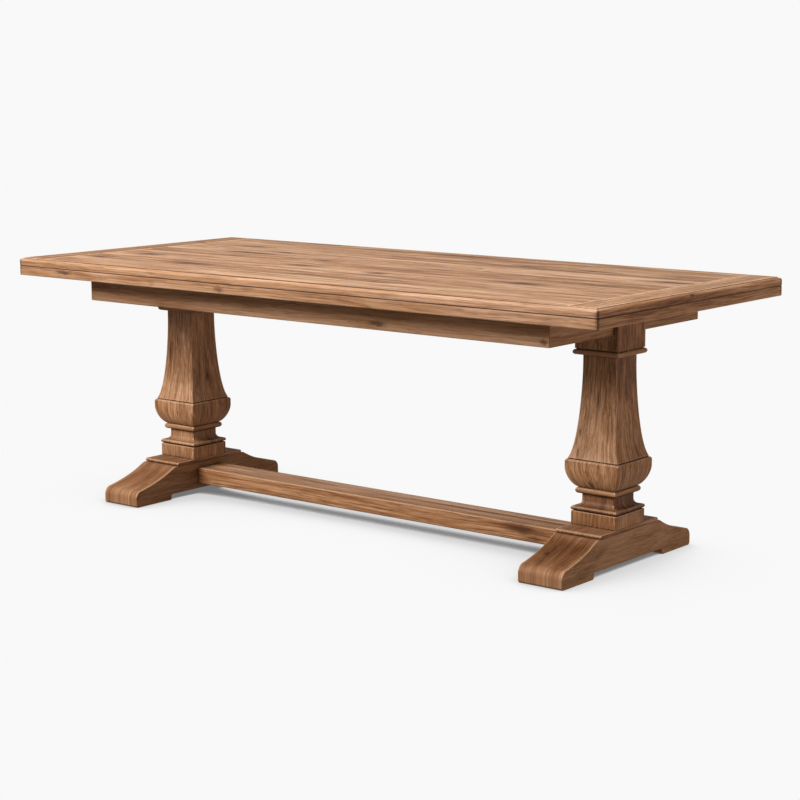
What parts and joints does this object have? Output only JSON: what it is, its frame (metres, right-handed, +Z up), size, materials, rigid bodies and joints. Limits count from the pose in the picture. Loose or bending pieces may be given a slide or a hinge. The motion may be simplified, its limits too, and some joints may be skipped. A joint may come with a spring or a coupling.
{
  "type": "trestle dining table",
  "caption": "Rectangular wooden trestle dining table: plank top with breadboard ends on square moulded columns, sled feet and a low stretcher.",
  "frame": {"origin": "on the floor, under the middle of the table top", "axes": "+X along the table's length, +Y towards its back long side, +Z up"},
  "size_m": [2.1, 0.93, 0.762],
  "materials": {
    "top_wood": "satin",
    "frame_wood": "satin",
    "inner_wood": "satin",
    "dowel_wood": "satin",
    "zinc_steel": "zinc plated",
    "insert_brass": "machined",
    "glide_nylon": "moulded"
  },
  "bodies": {
    "table": {"apron_back": "frame_wood", "apron_end_left_back": "frame_wood", "apron_end_left_front": "frame_wood", "apron_end_right_back": "frame_wood", "apron_end_right_front": "frame_wood", "apron_front": "frame_wood", "base_scotia_left": "frame_wood", "base_scotia_right": "frame_wood", "bearer_left": "inner_wood", "bearer_right": "inner_wood", "breadboard_left": "top_wood", "breadboard_pegs": "dowel_wood", "breadboard_right": "top_wood", "bulb_bead_left": "frame_wood", "bulb_bead_right": "frame_wood", "bulb_left": "frame_wood", "bulb_right": "frame_wood", "capital_block_left": "frame_wood", "capital_block_right": "frame_wood", "clip_screws": "zinc_steel", "collar_bead_left": "frame_wood", "collar_bead_right": "frame_wood", "cross_batten_left": "inner_wood", "cross_batten_right": "inner_wood", "edge_strip_back": "top_wood", "edge_strip_front": "top_wood", "edge_strip_left": "top_wood", "edge_strip_right": "top_wood", "foot_cap_left": "frame_wood", "foot_cap_right": "frame_wood", "foot_left": "frame_wood", "foot_right": "frame_wood", "glide_inserts": "insert_brass", "glue_block_left_back": "inner_wood", "glue_block_left_front": "inner_wood", "glue_block_right_back": "inner_wood", "glue_block_right_front": "inner_wood", "plinth_left": "frame_wood", "plinth_right": "frame_wood", "shaft_left": "frame_wood", "shaft_right": "frame_wood", "stretcher": "frame_wood", "stretcher_dowels": "dowel_wood", "tie_nuts": "zinc_steel", "tie_rods": "zinc_steel", "tie_washers": "zinc_steel", "top_clips": "zinc_steel", "top_plank_1": "top_wood", "top_plank_2": "top_wood", "top_plank_3": "top_wood", "top_plank_4": "top_wood", "top_plank_5": "top_wood", "top_plank_6": "top_wood", "top_plank_7": "top_wood", "wood_screws": "zinc_steel"},
    "right_back_glide": {"glide_right_back": "glide_nylon"},
    "right_front_glide": {"glide_right_front": "glide_nylon"},
    "left_front_glide": {"glide_left_front": "glide_nylon"},
    "left_back_glide": {"glide_left_back": "glide_nylon"}
  },
  "joints": [
    {"name": "right_back_glide_screw", "type": "slide", "parent": "table", "child": "right_back_glide", "axis": [0, 0, -1], "range_m": [0, 0.012]},
    {"name": "right_front_glide_screw", "type": "slide", "parent": "table", "child": "right_front_glide", "axis": [0, 0, -1], "range_m": [0, 0.012]},
    {"name": "left_front_glide_screw", "type": "slide", "parent": "table", "child": "left_front_glide", "axis": [0, 0, -1], "range_m": [0, 0.012]},
    {"name": "left_back_glide_screw", "type": "slide", "parent": "table", "child": "left_back_glide", "axis": [0, 0, -1], "range_m": [0, 0.012]}
  ]
}
